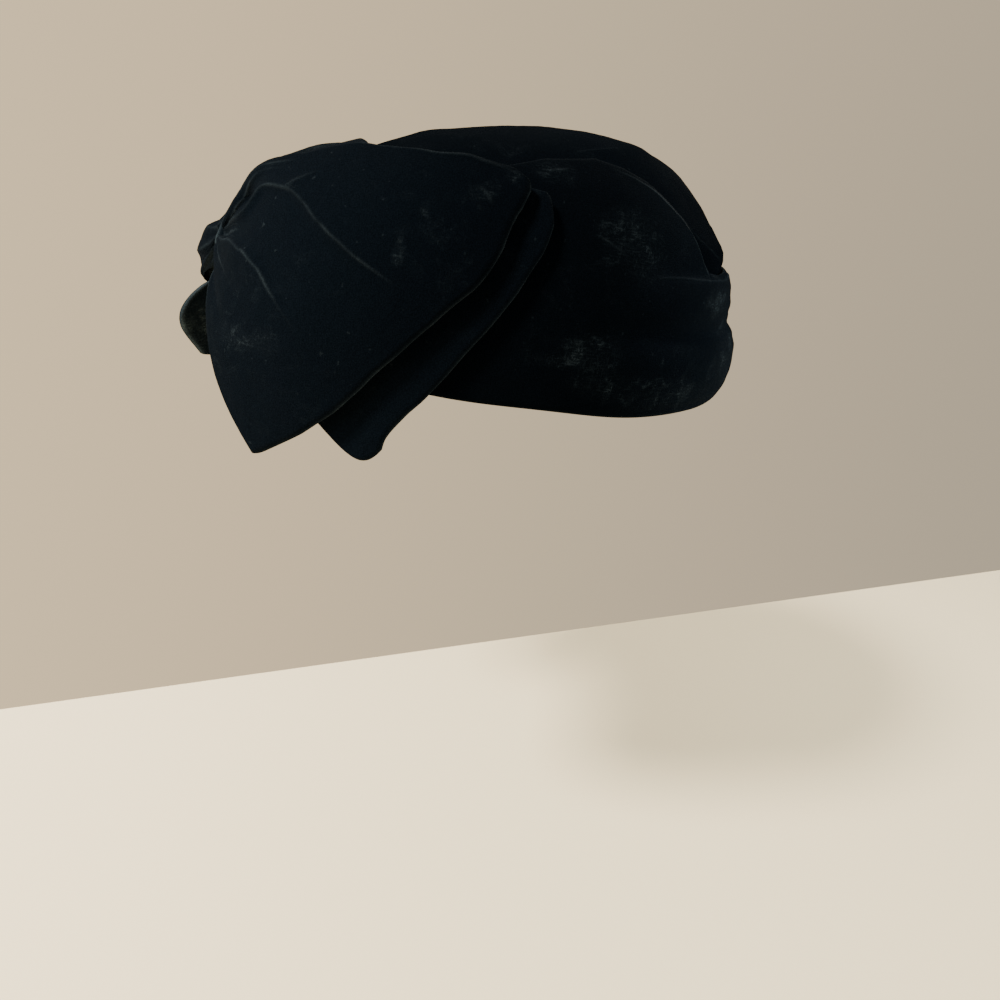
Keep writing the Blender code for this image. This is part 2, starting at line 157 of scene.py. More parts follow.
# Each bow leaf has a row for each fold, from its top edge round to its front edge, and four
# places on each fold, from the knot to the outer edge. Turns are in degrees to the leaf's own
# side, heights in shares of HEAD_DEPTH, and lifts off the layer beneath in shares of BOW_STAND.
# An upper leaf starts beside the knot: a fold's root is its height up (1) or down (-1) the knot,
# and its turn and height are for the other three places.
LEFT_UPPER_FOLDS = table(
    "root turn height lift",
    (0.87, (20, 46, 82), (0.71, 0.86, 0.83), (-0.1, 0.19, 0.09, 0.01)),
    (0.63, (20, 48, 80), (0.66, 0.75, 0.73), (-0.1, 0.18, 0.11, 0.01)),
    (0.28, (22, 47, 75), (0.58, 0.53, 0.48), (-0.19, 0.1, 0.12, 0.01)),
    (-0.01, (23, 45, 66), (0.43, 0.32, 0.25), (-0.19, 0.06, 0.1, 0.02)),
    (-0.31, (23, 39, 57), (0.28, 0.15, 0), (-0.19, 0.06, 0.14, 0.05)),
    (-0.66, (22, 34, 49), (0.14, -0.04, -0.2), (-0.19, 0.12, 0.19, 0.13)),
    (-0.9, (16, 25, 36), (0.04, -0.2, -0.42), (-0.19, 0.17, 0.25, 0.18)),
)
LEFT_LOWER_FOLDS = table(
    "turn height lift",
    ((24, 40, 62, 88), (0.42, 0.6, 0.76, 0.78), (0.02, 0.02, 0.01, 0.01)),
    ((24, 42, 62, 85), (0.38, 0.5, 0.58, 0.58), (0.02, 0.02, 0.01, 0.01)),
    ((24, 42, 60, 77), (0.33, 0.34, 0.33, 0.29), (0.02, 0.02, 0.01, 0.01)),
    ((24, 38, 53, 66), (0.28, 0.18, 0.06, -0.07), (0.02, 0.02, 0.02, 0.02)),
    ((23, 34, 47, 58), (0.23, 0.07, -0.12, -0.32), (0.02, 0.03, 0.04, 0.03)),
    ((22, 29, 39, 48), (0.18, 0, -0.11, -0.2), (0.02, 0.05, 0.06, 0.05)),
)
RIGHT_UPPER_FOLDS = table(
    "root turn height lift",
    (0.87, (20, 46, 80), (0.66, 0.8, 0.79), (-0.11, 0.13, 0.05, 0.01)),
    (0.63, (19, 47, 77), (0.54, 0.7, 0.68), (-0.15, 0.16, 0.11, 0.01)),
    (0.28, (17, 46, 71), (0.38, 0.5, 0.45), (-0.17, 0.33, 0.18, 0.01)),
    (-0.01, (15, 44, 63), (0.27, 0.31, 0.23), (-0.19, 0.44, 0.24, 0.03)),
    (-0.31, (16, 38, 54), (0.14, 0.14, 0), (-0.19, 0.51, 0.34, 0.07)),
    (-0.66, (18, 33, 47), (0.06, 0, -0.17), (-0.19, 0.51, 0.37, 0.14)),
    (-0.9, (19, 30, 39), (0.05, -0.09, -0.3), (-0.19, 0.42, 0.36, 0.21)),
)
RIGHT_LOWER_FOLDS = table(
    "turn height lift",
    ((24, 40, 62, 86), (0.42, 0.58, 0.72, 0.73), (0.02, 0.02, 0.01, 0.01)),
    ((24, 42, 60, 80), (0.37, 0.47, 0.54, 0.51), (0.02, 0.02, 0.01, 0.01)),
    ((24, 41, 57, 72), (0.31, 0.3, 0.28, 0.22), (0.02, 0.02, 0.01, 0.01)),
    ((23, 36, 50, 63), (0.25, 0.12, -0.01, -0.13), (0.02, 0.03, 0.03, 0.03)),
    ((21, 27, 37, 49), (0.19, 0, -0.18, -0.31), (0.02, 0.09, 0.1, 0.1)),
    ((18, 16, 21, 31), (0.16, 0.03, -0.17, -0.38), (0.02, 0.28, 0.44, 0.4)),
    ((15, 9, 7, 16), (0.13, 0.07, -0.1, -0.34), (0.02, 0.54, 0.92, 0.8)),
)

# The top drape has a row for each fold from left to right, which starts just over the knot and
# runs up and back over the crown. Its heights are for the three places after that.
TOP_DRAPE_FOLDS = table(
    "turn height lift",
    ((2.6, 17, 34, 47), (0.53, 0.61, 0.7), (0.04, 0.06, 0, -0.19)),
    ((1.5, 7, 15, 22), (0.6, 0.71, 0.81), (0.09, 0.17, 0.06, -0.2)),
    ((0, 0, 0, 0), (0.59, 0.71, 0.83), (0.09, 0.17, 0.06, -0.2)),
    ((-1.5, -7, -15, -22), (0.6, 0.71, 0.81), (0.09, 0.17, 0.06, -0.2)),
    ((-2.6, -17, -34, -47), (0.53, 0.61, 0.7), (0.04, 0.06, 0, -0.19)),
)

# Lines where the cloth is lapped or pinched into a sharp fold. Places are (across, along) on a
# bow leaf or the top drape, and (turn, height) on the crown and the side drape. Rise is in
# metres, broad is how far the fold reaches on the right and on the left of its line as it runs
# outward, mark is how strongly its crest gets a painted highlight, and ends are the shares of its
# length over which it fades in and out.
LEFT_UPPER_LINES = table(
    "places rise broad mark ends",
    ([(.44, 0), (.455, .14), (.455, .25), (.43, .315), (.375, .345), (.325, .35), (.30, .40), (.287, .48),
     (.292, .54), (.31, .59), (.338, .66), (.36, .72), (.382, .79), (.412, .88)], (.0021, .0007),
     (.0014, .0060), .45, (0, .12)),
    ([(.60, 0), (.585, .12), (.565, .24), (.562, .345), (.552, .43), (.556, .517), (.575, .567),
     (.604, .675), (.637, .77)], (.0022, .0006), (.0060, .0014), .45, (0, .3)),
    ([(.22, 0), (.15, .09), (.115, .16), (.115, .22), (.16, .31), (.15, .40), (.115, .467)],
     (.0016, .0010), (.0022, .0034), .55, (0, .35)),
    ([(.31, 0), (.28, .13), (.24, .25), (.21, .35), (.185, .46)], (.0014, .0005), (.0014, .0034), .4,
     (0, .5)),
    ([(.288, .485), (.265, .495), (.235, .512), (.175, .555)], (.0008, .0004), (.0026, .0010), .45,
     (.1, .5)),
    ([(.76, 0), (.80, .08), (.87, .15), (.93, .24), (.962, .34), (.975, .50)], (.0016, .0006),
     (.0014, .0044), .45, (0, .4)),
    ([(.52, 0), (.515, .12), (.51, .24), (.50, .31)], (.0012, .0008), (.0012, .0020), .5, (0, .5)),
    ([(.68, 0), (.69, .12), (.70, .22), (.70, .32)], (.0014, .0006), (.0034, .0014), .4, (0, .6)),
    ([(.20, .13), (.30, .22), (.39, .26), (.44, .27)], (-.0016, -.0010), (.0030, .0030), 0, (.3, .3)),
    # Almost no rise: a painted highlight along the top edge
    ([(.018, .52), (.015, .66), (.015, .80), (.018, .91), (.028, .985)], (.0001, .0002), (.0010, .0010),
     .5, (.5, .25)),
    ([(.14, .905), (.16, .93), (.19, .955)], (.0003, .0003), (.0010, .0010), .3, (.3, .3)),
)
LEFT_LOWER_LINES = table(
    "places rise broad mark ends",
    ([(.12, .3), (.14, .6), (.16, .9)], (.0006, .0004), (.003, .0015), .3, (.3, .3)),
)
RIGHT_UPPER_LINES = table(
    "places rise broad mark ends",
    ([(.45, 0), (.44, .18), (.41, .38), (.37, .60), (.38, .82)], (.0022, .0006), (.0014, .0070), .38,
     (0, .4)),
    ([(.58, 0), (.60, .22), (.61, .45), (.66, .72)], (.0021, .0006), (.0065, .0014), .38, (0, .45)),
    ([(.28, 0), (.22, .22), (.17, .40), (.14, .55)], (.0018, .0005), (.0014, .0050), .32, (0, .5)),
    ([(.80, 0), (.84, .22), (.88, .45), (.90, .65)], (.0016, .0006), (.0014, .0055), .32, (0, .5)),
    ([(.36, 0), (.33, .16), (.29, .30)], (.0014, .0006), (.0030, .0014), .25, (0, .6)),
    ([(.69, 0), (.72, .14), (.75, .27)], (.0014, .0006), (.0014, .0034), .25, (0, .6)),
)
RIGHT_LOWER_LINES = table(
    "places rise broad mark ends",
    ([(.55, .2), (.57, .5), (.60, .8)], (.0012, .0005), (.0060, .0012), .25, (.3, .5)),
    ([(.80, .25), (.82, .5), (.83, .75)], (.0012, .0005), (.0012, .0060), .25, (.3, .5)),
)
TOP_DRAPE_LINES = table(
    "places rise broad mark ends",
    ([(.28, 0), (.26, .25), (.20, .50), (.15, .75)], (.0018, .0006), (.0014, .0055), .28, (0, .5)),
    ([(.47, 0), (.45, .25), (.49, .50), (.47, .80)], (.0018, .0006), (.0060, .0014), .28, (0, .5)),
    ([(.72, 0), (.74, .25), (.80, .50), (.85, .75)], (.0018, .0006), (.0055, .0014), .28, (0, .5)),
)
SIDE_LINES = table(
    "places rise broad mark ends",
    ([(108, .0440), (120, .0442), (140, .0428), (160, .0425), (180, .0425)], (.0006, .0011),
     (.0050, .0009), .5, (.25, .1)),
    ([(252, .0440), (240, .0442), (220, .0428), (200, .0425), (180, .0425)], (.0006, .0011),
     (.0009, .0050), .5, (.25, .1)),
    ([(96, .0545), (99, .0530), (105, .0490)], (.0006, .0003), (.0018, .0010), .5, (.3, .4)),
    ([(85, .0690), (92, .0710)], (.0004, .0003), (.0012, .0020), .5, (.3, .4)),
    ([(101, .0735), (108, .0724), (115, .0697), (120, .0655), (125, .0601), (128, .0552), (131, .0486),
     (134, .0448)], (.0004, .0006), (.0026, .0012), .9, (.4, .05)),
    ([(264, .0480), (256, .0520), (246, .0560)], (.0008, .0004), (.0030, .0014), .5, (.3, .4)),
)
CROWN_LINES = table(
    "places rise broad mark ends",
    ([(96, .0752), (102, .0762), (111, .0772), (121, .0779)], (.0007, .0003), (.0026, .0010), .3, (.2, .4)),
    ([(124, .0640), (132, .0560), (142, .0500), (150, .0470)], (.0012, .0006), (.0014, .0035), .3,
     (.1, .4)),
    ([(150, .0600), (165, .0580), (185, .0585), (205, .0560)], (.0010, .0006), (.0035, .0014), .3,
     (.3, .3)),
    ([(262, .0748), (254, .0764), (244, .0776), (234, .0768)], (.0009, .0004), (.0010, .0030), .3,
     (.2, .4)),
    ([(236, .0620), (226, .0545), (214, .0490)], (.0012, .0006), (.0035, .0014), .3, (.1, .4)),
)

# The painted highlight on the crest of a fold: how far from its line and past its end it is painted,
# in metres, its half width in millimetres, the faintest one, and the power by which the fold falls off
CREST_REACH = 0.0016
CREST_END = 0.0012
CREST_MILLIMETRES = 0.48
FAINTEST_CREST = 0.02
LINE_REACH = 1.5

# How far a leaf's top edge rises over or dips under its smooth line: the share out from the knot
# and millimetres
LEFT_TOP_EDGE = [(0, 0), (.33, 0), (.40, -.9), (.47, -1.7), (.52, -.8), (.60, -.7), (.68, -1.5), (.72, -1.3),
                 (.80, -.3), (.88, 1.7), (.95, 1.5), (1, -.9)]
RIGHT_TOP_EDGE = [(0, 0), (.35, 0), (.45, -1.2), (.55, -.9), (.68, -2.0), (.80, -2.2), (.92, -1.8), (1, -2.4)]
UNDER_TOP_EDGE = [(0, 0), (.70, 0), (.88, 1.4), (1, .6)]
TOP_EDGE_REACH = 0.14

# How far a leaf's outer end reaches over or stays short of its smooth line: the share across from
# the top edge to the front edge, and the share of its length
LEFT_UNDER_END = [(0, 0), (.52, 0), (.62, -.008), (.69, -.016), (.75, .008), (.83, .023), (1, 0)]
PLAIN_END = [(0, 0), (1, 0)]

# How far the cuff stands out at the back: shares of its height and millimetres
CUFF_PROFILE = [(0, .3), (.08, 1.2), (.20, 1.7), (.36, 1.3), (.46, .2), (.54, -2.0), (.62, -1.3), (.72, .1),
                (.84, .3), (.93, -.5), (1, -1.2)]

# Unevenness of each cloth and of its pile: the size of the lumps and how far they rise
LEAF_LUMPS = [(0.032, 0.0008), (0.011, 0.00035)]
SIDE_LUMPS = [(0.026, 0.0006), (0.009, 0.00025)]
CROWN_LUMPS = [(0.028, 0.0005), (0.010, 0.0002)]
PILE_LUMPS = [(0.0042, 0.00010), (0.0019, 0.00005)]
DEEPEST_CROWN_LUMP = 0.0005
SIDE_LUMP_SQUASH = 0.45
SIDE_SEED = 21
CROWN_SEED = 31

# Gathers of a leaf beside the knot: how high their ribs stand, the level between ribs and grooves,
# how far out they reach and where they start, in shares of the leaf's length, and how they sway
GATHER_RISE = 0.0014
GATHER_LEVEL = 0.6
GATHER_REACH = 0.26
GATHER_START = 0.03
GATHER_SWAY = 0.25
GATHER_SWAYS = 7

# Along a leaf: where it becomes uneven, how much of that is left at its ends, how long a fold may
# get, and the waves of its outer edge
LUMPS_START = 0.25
LUMPS_AT_ENDS = 0.35
LONGEST_FOLD = 1.03
END_WAVE = 0.004
END_WAVES = 31

# How fast the painted highlight on the edges, partly rubbed pile, fades inward
LEAF_EDGE_FADE = 1.6
SIDE_EDGE_FADE = 3

# How far the crown sinks between its folds, high up at the back
CROWN_BACK_SINK = 0.0019
CROWN_BACK_TURN = 168
CROWN_BACK_SPREAD = 34
CROWN_BACK_HEIGHT = 0.064
CROWN_BACK_DEPTH = 0.010

# How far the crown puffs out at the back, just over the cuff
CROWN_PUFF = 0.0017
CROWN_PUFF_HEIGHT = 0.0490
CROWN_PUFF_DEPTH = 0.0060
CROWN_REAR_RISE = 0.0006
CROWN_FRONT_SINK = 0.0012
CROWN_FOLD_SHARE = 0.6

# Where the crown's front sinks and its rear rises, along Y and Z: a start and the way to the full
# change. Under the side drape's edge it stays plain.
CROWN_FRONT_Y = (-0.012, 0.05)
CROWN_FRONT_Z = (0.055, 0.012)
CROWN_REAR_Y = 0.03
CROWN_REAR_Z = (0.066, 0.008)
CROWN_HIDDEN = 0.001
CROWN_OPENS = 0.005

# The knot's gathers
KNOT_RIBS = 4.5
KNOT_RIB_DEPTH = 0.22
KNOT_RIB_LEVEL = 0.45
KNOT_SWELL = 0.95
KNOT_WAIST = 0.10
KNOT_END = 0.02

# Velvet: the pile's dark ground, the lighter tone where it is brushed the other way, which also
# colours the painted highlights, how much of that brushed tone shows all over, and its sheen
PILE_DARK = (0.00122, 0.00212, 0.0034, 1)
PILE_BRUSHED_AND_HIGHLIGHT = (0.0125, 0.0175, 0.0210, 1)
NAP_BROAD = 0.14
SHEEN = 0.011
CROWN_SHEEN = 0.004
SHEEN_ROUGHNESS = 0.42
SHEEN_TINT = (0.84, 0.93, 1.0, 1)

# The velvet's noises, by scale, detail, roughness and distortion, and the levels between which
# they show
BROAD_NOISE, BROAD_LEVELS = (26, 3, 0.55, 0.6), (0.40, 0.72)
CRUSH_NOISE, CRUSH_LEVELS = (120, 4, 0.62, 1.4), (0.50, 0.68)
FLECK_NOISE, FLECK_LEVELS = (430, 1, 0.5), (0.725, 0.80, 0, 0.25)
BREAK_NOISE = (60, 3, 0.6)
GRAIN_NOISE = (2400, 2, 0.6)
STREAK_NOISE = (1.0, 3, 0.6)
STREAKS_UP = (1700, 1700, 420)
STREAKS_ROUND = (330, 330, 1900)

# How high and how strongly the broad tone, the crests, the streaks and the grain stand out
PILE_BUMPS = [(0.0006, 0.4), (0.0006, 0.8), (0.00012, 0.3), (0.00018, 0.8)]

# The woven back of the velvet
BACKING_DARK = (0.0016, 0.0020, 0.0026, 1)
BACKING_LIGHT = (0.0036, 0.0042, 0.0050, 1)
WEAVE = {"Scale": 420, "Distortion": 5.0, "Detail Scale": 0.35}


def ease(share):
    share = np.clip(share, 0, 1)
    return share * share * (3 - 2 * share)


def grown(value, reach):
    """How far a value has gone from a start, over a way, from 0 to 1."""
    return ease((value - reach[0]) / reach[1])


def unit(vectors):
    return vectors / np.maximum(np.linalg.norm(vectors, axis=-1, keepdims=True), 1e-12)


def through(a, b, c, d, part):
    """A smooth way from b to c, which leaves a and goes on to d."""
    slope_b, slope_c = (c - a) / 2, (d - b) / 2
    start = b * (1 + 2 * part) * (1 - part) ** 2 + slope_b * part * (1 - part) ** 2
    return start + c * part**2 * (3 - 2 * part) + slope_c * part**2 * (part - 1)


def smooth_rows(rows, shares):
    """A smooth curve through evenly spaced rows, read at shares of its length."""
    rows = np.asarray(rows, float)
    place = np.clip(shares, 0, 1) * (len(rows) - 1)
    first = np.minimum(place.astype(int), len(rows) - 2)
    part = (place - first).reshape((-1,) + (1,) * (rows.ndim - 1))
    longer = np.concatenate([[2 * rows[0] - rows[1]], rows, [2 * rows[-1] - rows[-2]]])
    return through(*(longer[first + k] for k in range(4)), part)


def head_place(turn, climb):
    """A point of the head form. The climb goes from 0 at the rim to 1 at the top."""
    around = np.radians(turn)
    lift = math.pi / 2 * (1 - (1 - np.clip(climb, 0, 1)) ** 2)
    roundness = SIDE_ROUNDNESS + BACK_ROUNDING * np.maximum(-np.cos(around), 0)
    reach = np.maximum(np.cos(lift), 0) ** roundness
    x = HEAD_WIDTH / 2 * reach * np.sin(around)
    y = -HEAD_LENGTH / 2 * reach * np.cos(around)
    forward = np.clip((DROP_START - y) / DROP_LENGTH, 0, 1)
    depth = HEAD_DEPTH * (1 - FRONT_DROP * forward**DROP_POWER)
    z = depth * np.sin(lift) ** TOP_ROUNDNESS
    off = (z - BACK_PINCH_HEIGHT) / BACK_PINCH_WIDTH
    pinch = BACK_PINCH * np.exp(-off * off) * ease(-np.cos(around) / BACK_PINCH_FULL)
    shrink = 1 - pinch / (HEAD_LENGTH / 2)
    return np.stack([x * shrink, y * shrink, z], axis=-1)


def head_normal(turn, climb):
    step = 0.004
    low, high = np.clip(climb - step, 0, 1 - step), np.clip(climb + step, 0, 1)
    upward = head_place(turn, high) - head_place(turn, low)
    sideways = head_place(turn + 0.5, climb) - head_place(turn - 0.5, climb)
    return unit(np.cross(sideways, upward))


def cloth_place(turn, height, out):
    """Points of a layer at a stand-off from the head form, and the way they stand off."""
    turn, height, out = np.broadcast_arrays(turn, height, out)
    low, high = np.zeros(turn.shape), np.full(turn.shape, HIGHEST_CLIMB)
    for _ in range(HALVINGS):
        middle = (low + high) / 2
        reached = head_place(turn, middle)[..., 2] + head_normal(turn, middle)[..., 2] * out
        under = reached < np.maximum(height, 0)
        low = np.where(under, middle, low)
        high = np.where(under, high, middle)
    climb = (low + high) / 2
    normal = head_normal(turn, climb)
    point = head_place(turn, climb) + normal * out[..., None]
    point[..., 2] = np.where(height < point[..., 2], height, point[..., 2])
    return point, normal


def soft_noise(points, size, seed):
    """Smooth uneven heights from -1 to 1, in lumps of about a size."""
    table = np.random.default_rng(seed).uniform(-1, 1, (NOISE_TABLE,) * 3)
    place = points / size + 100
    base = np.floor(place).astype(int)
    part = ease(place - base)
    total = 0
    for corner in itertools.product((0, 1), repeat=3):
        x, y, z = np.moveaxis((base + np.array(corner)) % NOISE_TABLE, -1, 0)
        share = np.prod(np.where(np.array(corner) == 1, part, 1 - part), axis=-1)
        total = total + table[x, y, z] * share
    return total


def lumpy(points, lumps, seed):
    """The unevenness of a cloth, from a list of sizes and rises."""
    return sum(rise * soft_noise(points, size, seed + k) for k, (size, rise) in enumerate(lumps))


def surface_way(points, like):
    """The outward way of a grid of points, on the side of another set of ways."""
    along = np.gradient(points, axis=1)
    across = np.gradient(points, axis=0)
    way = unit(np.cross(across, along))
    return way * np.where((way * like).sum(-1, keepdims=True) < 0, -1, 1)


def lapped(points, way, line, fold):
    """How far a lapped fold lifts each point, how far aside its crest is, and how it shows."""
    flat = points.reshape(-1, 3)
    nearest = np.empty(len(flat), int)
    for start in range(0, len(flat), 8192):
        gaps = flat[start:start + 8192, None] - line[None]
        nearest[start:start + 8192] = (gaps * gaps).sum(-1).argmin(1)
    run = unit(np.gradient(line, axis=0))[nearest]
    gap = flat - line[nearest]
    off = (unit(np.cross(run, way.reshape(-1, 3))) * gap).sum(-1)
    past = (run * gap).sum(-1)
    far = np.linalg.norm(gap, axis=-1) / np.where(off > 0, fold["broad"][0], fold["broad"][1])
    share = nearest / (len(line) - 1)
    fade_in, fade_out = fold["ends"]
    fade = ease(share / fade_in) if fade_in else 1
    fade = fade * (ease((1 - share) / fade_out) if fade_out else 1)
    rise = fold["rise"][0] + share * (fold["rise"][1] - fold["rise"][0])
    lift = rise * np.exp(-(far**LINE_REACH)) * fade
    show = fade * np.exp(-((past / CREST_END) ** 2) - (off / CREST_REACH) ** 2)
    return [values.reshape(points.shape[:-1]) for values in (lift, off, show)]


class Relief:
    """The folds laid on one sheet: how far they lift it, and the crest that is nearest."""

    def __init__(self, shape):
        self.lift = np.zeros(shape)
        self.off = np.full(shape, 1.0)
        self.show = np.zeros(shape)

    def lay(self, points, way, line, fold):
        lift, off, show = lapped(points, way, line, fold)
        closer = (np.abs(off) < np.abs(self.off)) & (show > FAINTEST_CREST)
        self.lift = self.lift + lift
        self.off = np.where(closer, off, self.off)
        self.show = np.where(closer, show * fold["mark"], self.show)

    def marks(self, worn_and_highlight):
        return {"worn_and_highlight": worn_and_highlight, "crest_off": np.clip(self.off, -0.01, 0.01) * 1000, "crest_show": self.show}


def laid_folds(folds, points, way, out):
    """The relief of folds whose places are turns and heights, on a layer that lies this far out."""
    relief = Relief(points.shape[:-1])
    for fold in folds:
        spots = smooth_rows(fold["places"], LINE_SHARES)
        relief.lay(points, way, cloth_place(spots[:, 0], spots[:, 1], out)[0], fold)
    return relief


def crowded(count):
    """Shares from 0 to 1 that lie closer together towards both ends."""
    even = np.linspace(0, 1, count)
    return even - EDGE_CROWDING * np.sin(2 * math.pi * even) / (2 * math.pi)


def edge_share(points, closed):
    """The share of the full wall: 1 inside, falling to 0 on the cloth's edges."""
    edges = [points[:, :1], points[:, -1:]]
    if not closed:
        edges += [points[:1], points[-1:]]
    near = np.min([np.linalg.norm(points - edge, axis=-1) for edge in edges], axis=0)
    share = np.clip(near / EDGE_ROUND, 0, 1)
    return np.sqrt(1 - (1 - share) ** 2)


def placed(name, data):
    """A new object in the scene."""
    piece = bpy.data.objects.new(name, data)
    bpy.context.collection.objects.link(piece)
    return piece


def cloth_mesh(name, places, faces, marks):
    """A smooth mesh, with each mark as a value on its points."""
    mesh = bpy.data.meshes.new(name)
    mesh.from_pydata(places.tolist(), [], faces)
    mesh.validate()
    mesh.shade_smooth()
    for mark, values in marks.items():
        mesh.attributes.new(mark, "FLOAT", "POINT").data.foreach_set("value", values.astype(np.float32))
    return placed(name, mesh)


def sheet_mesh(name, outer, inner, marks, closed, cap=False):
    """A closed sheet from its outer and inner grids, which share the points of their edges."""
    count, rows = outer.shape[:2]
    index = np.arange(count * rows).reshape(count, rows)
    shared = np.zeros((count, rows), bool)
    shared[:, 0] = True
    if not cap:
        shared[:, -1] = True
    if not closed:
        shared[0] = shared[-1] = True
    under = np.where(shared, index, 0)
    under[~shared] = count * rows + np.arange((~shared).sum())
    places = np.concatenate([outer.reshape(-1, 3), inner[~shared]])
    faces = []
    for grid, way in ((index, 1), (under, -1)):
        here, there = (grid, np.roll(grid, -1, axis=0)) if closed else (grid[:-1], grid[1:])
        corners = [here[:, :-1], there[:, :-1], there[:, 1:], here[:, 1:]]
        faces += np.stack(corners[::way], axis=-1).reshape(-1, 4).tolist()
    if cap:
        faces += [index[:, -1].tolist(), under[::-1, -1].tolist()]
    both = {}
    for mark, values in marks.items():
        inside = values[~shared] * (mark != "crest_show")
        both[mark] = np.concatenate([values.reshape(-1), inside])
    return cloth_mesh(name, places, faces, both)


def table_value(folds, across, along, column):
    """A table's value between its folds and between the four places on each."""
    columns = np.array([fold[column] for fold in folds]).T
    lines = smooth_rows(columns, along.reshape(-1)).reshape(along.shape + (len(folds),))
    place = across * (len(folds) - 1)
    first = np.minimum(place.astype(int), len(folds) - 2)
    part = (place - first)[:, None]
    before = 2 * lines[..., :1] - lines[..., 1:2]
    after = 2 * lines[..., -1:] - lines[..., -2:-1]
    longer = np.concatenate([before, lines, after], -1)
    rows = np.arange(len(across))
    return through(*(longer[rows, :, first + k] for k in range(4)), part)


def knot_outline(root):
    """How far out to the side an upper leaf starts, at a height up or down the knot."""
    half = KNOT_HALF_WIDTH * ROOT_SPREAD * math.sqrt(max(1 - root * root, 0.0))
    return max(half, NARROWEST_ROOT) - ROOT_TUCK


def beside_knot(folds):
    """The folds of an upper leaf with their first places set beside the knot."""
    full = []
    for fold in folds:
        turn = math.degrees(math.asin(knot_outline(fold["root"]) / (HEAD_WIDTH / 2 + LEAF_BASE)))
        height = (KNOT_HEIGHT + fold["root"] * KNOT_HALF_HEIGHT) / HEAD_DEPTH
        full.append({**fold, "turn": (turn, *fold["turn"]), "height": (height, *fold["height"])})
    return full


def over_knot(folds):
    """The folds of the top drape with their first places set over the knot."""
    height = (KNOT_HEIGHT + KNOT_HALF_HEIGHT - ROOT_TUCK) / HEAD_DEPTH
    return [{**fold, "height": (height, *fold["height"])} for fold in folds]


def corner_length(across, corner):
    """How far out a leaf reaches at each share across, with its corner rounded off."""
    width, depth = corner
    off = 1 - np.clip(across / width, 0, 1)
    return 1 - depth * (1 - np.sqrt(1 - off * off))


def eased_table(rows, values):
    """A smooth reading of a short table of places and heights."""
    places, heights = np.array(rows, float).T
    first = np.clip(np.searchsorted(places, values, side="right") - 1, 0, len(rows) - 2)
    share = ease((values - places[first]) / (places[first + 1] - places[first]))
    return heights[first] + share * (heights[first + 1] - heights[first])


def grid_place(shares, spots):
    """The row and the column of a grid that lie nearest to spots, by the grid's own shares."""
    return tuple(np.round(np.interp(spot, share, np.arange(len(share)))).astype(int)
                 for spot, share in zip(spots, shares))


def fan(leaf):
    """A folded fan of velvet, from the knot out to its edge, on the left (1) or right (-1)."""
    folds, wall, seed, corners = leaf["folds"], leaf["wall"], leaf["seed"], leaf["corners"]
    shares = [crowded(count) for count in leaf["grid"]]
    across, along = shares
    length = corner_length(across, corners[0]) * corner_length(1 - across, corners[1])
    waves = END_WAVE * np.sin(across * END_WAVES + seed)
    length = length * (1 + eased_table(leaf["end_edge"], across) + waves)
    along = np.minimum(along[None] * length[:, None], LONGEST_FOLD)
    turn = leaf["side"] * table_value(folds, across, along, "turn")
    height = HEAD_DEPTH * table_value(folds, across, along, "height")
    near_top = np.exp(-across[:, None] / TOP_EDGE_REACH)
    height = height + MILLIMETRE * eased_table(leaf["top_edge"], along) * near_top
    lift = BOW_STAND * table_value(folds, across, along, "lift")
    start, normal = cloth_place(turn, height, leaf["base"] + wall / 2 + lift)
    root_fade = ease(along / LUMPS_START)
    edge_fade = LUMPS_AT_ENDS + (1 - LUMPS_AT_ENDS) * np.sin(math.pi * along)
    wave = lumpy(start, LEAF_LUMPS, seed)
    point = start + normal * (wave * root_fade * edge_fade)[..., None]
    way = surface_way(point, normal)
    folds_laid = Relief(turn.shape)
    for fold in leaf["lines"]:
        line = point[grid_place(shares, smooth_rows(fold["places"], LINE_SHARES).T)]
        folds_laid.lay(point, way, smooth_line(line), fold)
    sway = GATHER_SWAY * np.sin(GATHER_SWAYS * across[:, None])
    ribs = np.abs(np.sin(math.pi * (across[:, None] * leaf["gathers"] + sway)))
    reach = np.exp(-((along / GATHER_REACH) ** LINE_REACH))
    relief = folds_laid.lift + GATHER_RISE * (ribs - GATHER_LEVEL) * reach * ease(along / GATHER_START)
    fine = lumpy(point, PILE_LUMPS, seed + 2)
    full = edge_share(point, False)
    half = normal * (wall / 2 * full)[..., None]
    raised = way * ((relief + fine) * full)[..., None]
    # The rolled edges get a painted highlight, partly rubbed pile, and the fold crests get theirs
    marks = folds_laid.marks((1 - full) ** LEAF_EDGE_FADE)
    # Brushed patches of the pile, and on some leaves painted highlights, each with its point in space
    patches = []
    for spot in leaf["brushed_and_highlight_patches"]:
        where = grid_place(shares, (spot["across"], spot["along"]))
        patches.append({**spot, "place": (point + half)[where]})
    return sheet_mesh(leaf["name"] + "_velvet", point + half + raised, point - half, marks, False), patches


def smooth_line(line):
    """Evens out the small steps of a line read off a grid."""
    for _ in range(4):
        middle = (line[:-2] + 2 * line[1:-1] + line[2:]) / 4
        line = np.concatenate([line[:1], middle, line[-1:]])
    return line


def from_front(turn):
    """How far round each turn is from the front, to either side."""
    turn = np.mod(turn, 360)
    return np.minimum(turn, 360 - turn)


def drape_top(turn):
    """Height of the side drape's upper edge at each turn."""
    away = from_front(turn)
    turns = [row["turn"] for row in DRAPE_TOP]
    left = np.interp(away, turns, [row["left"] for row in DRAPE_TOP])
    right = np.interp(away, turns, [row["right"] for row in DRAPE_TOP])
    return HEAD_DEPTH * np.where(np.mod(turn, 360) <= 180, left, right)


